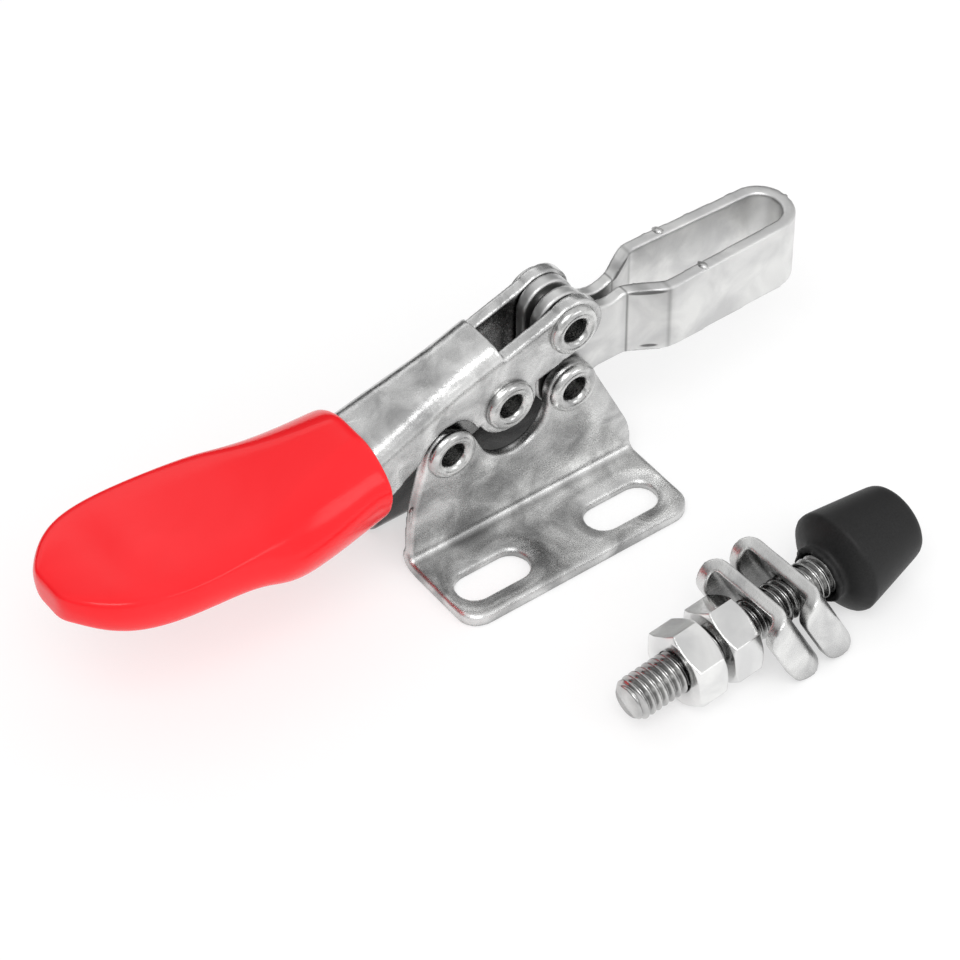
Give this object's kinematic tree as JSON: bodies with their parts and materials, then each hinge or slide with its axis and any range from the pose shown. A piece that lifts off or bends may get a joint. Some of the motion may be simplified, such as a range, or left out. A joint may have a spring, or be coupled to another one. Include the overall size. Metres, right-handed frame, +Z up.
{
  "type": "toggle clamp",
  "caption": "Small horizontal hold-down toggle clamp with a flanged base, open slotted arm, pressed handle with a red dipped grip, and its rubber-tipped spindle set laid beside it.",
  "frame": {"origin": "middle of the base's underside, at the centre of its four slots", "axes": "+X along the arm away from the grip, +Z up from the mounting surface, -Y towards the side where the rivets are rolled over"},
  "size_m": [0.0775, 0.0462, 0.0217],
  "materials": {
    "base_steel": "tumbled stainless steel",
    "handle_steel": "tumbled stainless steel",
    "arm_steel": "tumbled stainless steel",
    "rivet_steel": "rolled bright steel",
    "link_steel": "tumbled stainless steel",
    "stud_steel": "rolled thread",
    "nut_steel": "plain nut",
    "washer_steel": "pressed sheet",
    "grip_vinyl": "glossy dipped vinyl",
    "tip_rubber": "moulded black rubber"
  },
  "bodies": {
    "base": {"base_plate_near": "base_steel", "base_plate_far": "base_steel", "rivet_rear": "rivet_steel", "rivet_front": "rivet_steel", "spindle_stud": "stud_steel", "rubber_tip": "tip_rubber", "nut_outer": "nut_steel", "nut_inner": "nut_steel", "flanged_washer_outer": "washer_steel", "flanged_washer_inner": "washer_steel"},
    "arm": {"arm": "arm_steel"},
    "handle": {"handle_pressing": "handle_steel", "grip": "grip_vinyl", "rivet_link": "rivet_steel", "rivet_arm": "rivet_steel"},
    "link": {"link": "link_steel"}
  },
  "joints": [
    {"name": "arm_hinge", "type": "hinge", "parent": "base", "child": "arm", "pos_m": [0.00549, 0, 0.01224], "axis": [0, -1, 0], "range_deg": [0, 90]},
    {"name": "handle_hinge", "type": "hinge", "parent": "arm", "child": "handle", "pos_m": [0.00553, 0, 0.01903], "axis": [0, 1, 0], "range_deg": [0, 172.35]},
    {"name": "link_hinge", "type": "hinge", "parent": "base", "child": "link", "pos_m": [-0.00757, 0, 0.0118], "axis": [0, -1, 0], "range_deg": [0, 67.05]}
  ],
  "couplings": [
    {"joint": "handle_hinge", "follows": "arm_hinge", "ratio": 1.915},
    {"joint": "link_hinge", "follows": "arm_hinge", "ratio": 0.745}
  ]
}
